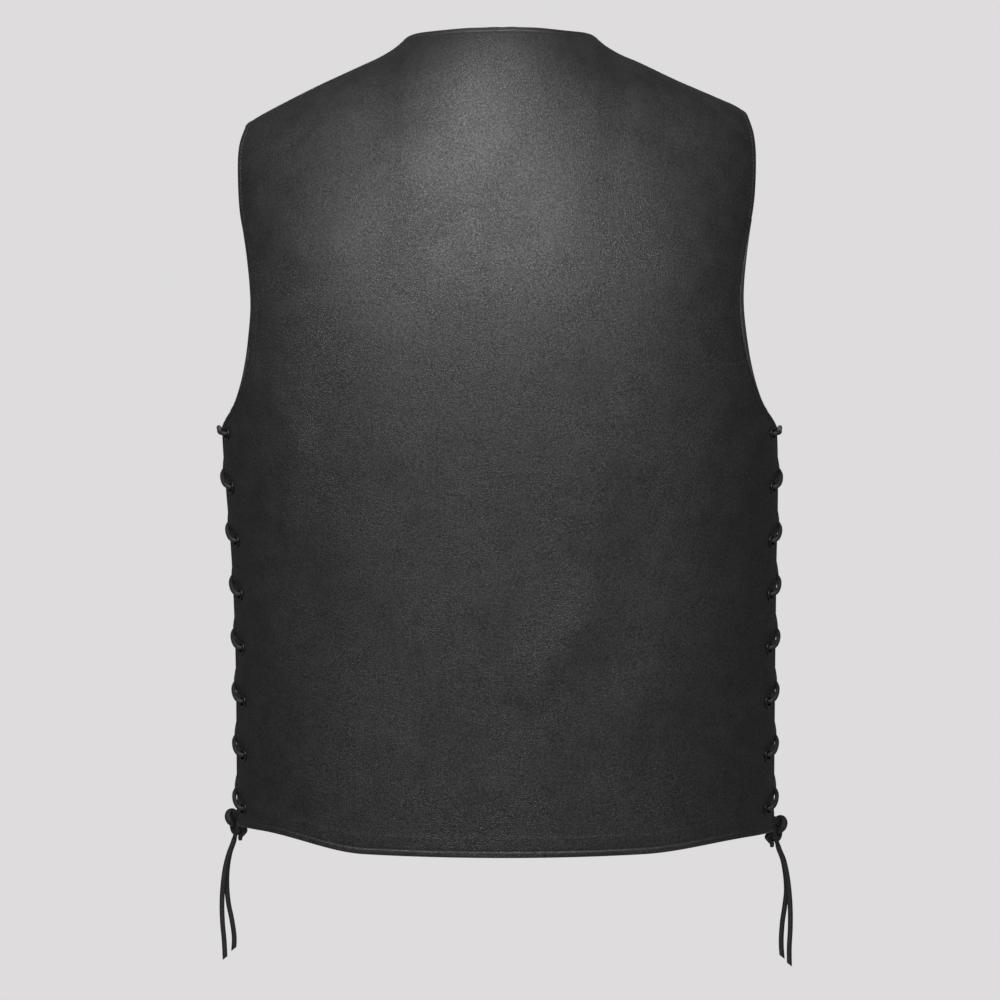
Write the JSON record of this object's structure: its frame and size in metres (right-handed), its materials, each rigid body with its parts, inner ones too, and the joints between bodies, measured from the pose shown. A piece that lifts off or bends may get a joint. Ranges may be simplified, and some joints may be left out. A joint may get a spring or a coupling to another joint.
{
  "type": "leather vest",
  "caption": "Side-laced leather vest held in its worn shape: one-piece back, V-neck fronts closed with press studs, criss-cross laces knotted at the hem.",
  "frame": {"origin": "midway between the shoulders, level with the points where the shoulder line meets the neck: where the vest hangs on its wearer", "axes": "+Z is the wearer's up, the front faces -Y, the back faces +Y and +X is the wearer's left"},
  "size_m": [0.4667, 0.2756, 0.7577],
  "materials": {
    "leather": "fine-grained black hide with a soft sheen, edges turned and topstitched",
    "lace_leather": "round black leather lace",
    "black_metal": "gloss black over metal"
  },
  "bodies": {
    "root": {"back_panel": "leather", "front_left": "leather", "front_right": "leather", "eyelet_left_back_1": "black_metal", "eyelet_left_back_2": "black_metal", "eyelet_left_back_3": "black_metal", "eyelet_left_back_4": "black_metal", "eyelet_left_back_5": "black_metal", "eyelet_left_back_6": "black_metal", "eyelet_left_back_7": "black_metal", "eyelet_left_back_8": "black_metal", "eyelet_left_front_1": "black_metal", "eyelet_left_front_2": "black_metal", "eyelet_left_front_3": "black_metal", "eyelet_left_front_4": "black_metal", "eyelet_left_front_5": "black_metal", "eyelet_left_front_6": "black_metal", "eyelet_left_front_7": "black_metal", "eyelet_left_front_8": "black_metal", "eyelet_right_back_1": "black_metal", "eyelet_right_back_2": "black_metal", "eyelet_right_back_3": "black_metal", "eyelet_right_back_4": "black_metal", "eyelet_right_back_5": "black_metal", "eyelet_right_back_6": "black_metal", "eyelet_right_back_7": "black_metal", "eyelet_right_back_8": "black_metal", "eyelet_right_front_1": "black_metal", "eyelet_right_front_2": "black_metal", "eyelet_right_front_3": "black_metal", "eyelet_right_front_4": "black_metal", "eyelet_right_front_5": "black_metal", "eyelet_right_front_6": "black_metal", "eyelet_right_front_7": "black_metal", "eyelet_right_front_8": "black_metal", "lace_left": "lace_leather", "knot_left": "lace_leather", "lace_end_left_outer": "lace_leather", "lace_end_left_inner": "lace_leather", "lace_right": "lace_leather", "knot_right": "lace_leather", "lace_end_right_outer": "lace_leather", "lace_end_right_inner": "lace_leather", "snap_cap_1": "black_metal", "snap_cap_2": "black_metal", "snap_cap_3": "black_metal", "snap_cap_4": "black_metal", "snap_stud_1": "black_metal", "snap_stud_2": "black_metal", "snap_stud_3": "black_metal", "snap_stud_4": "black_metal"}
  },
  "joints": []
}
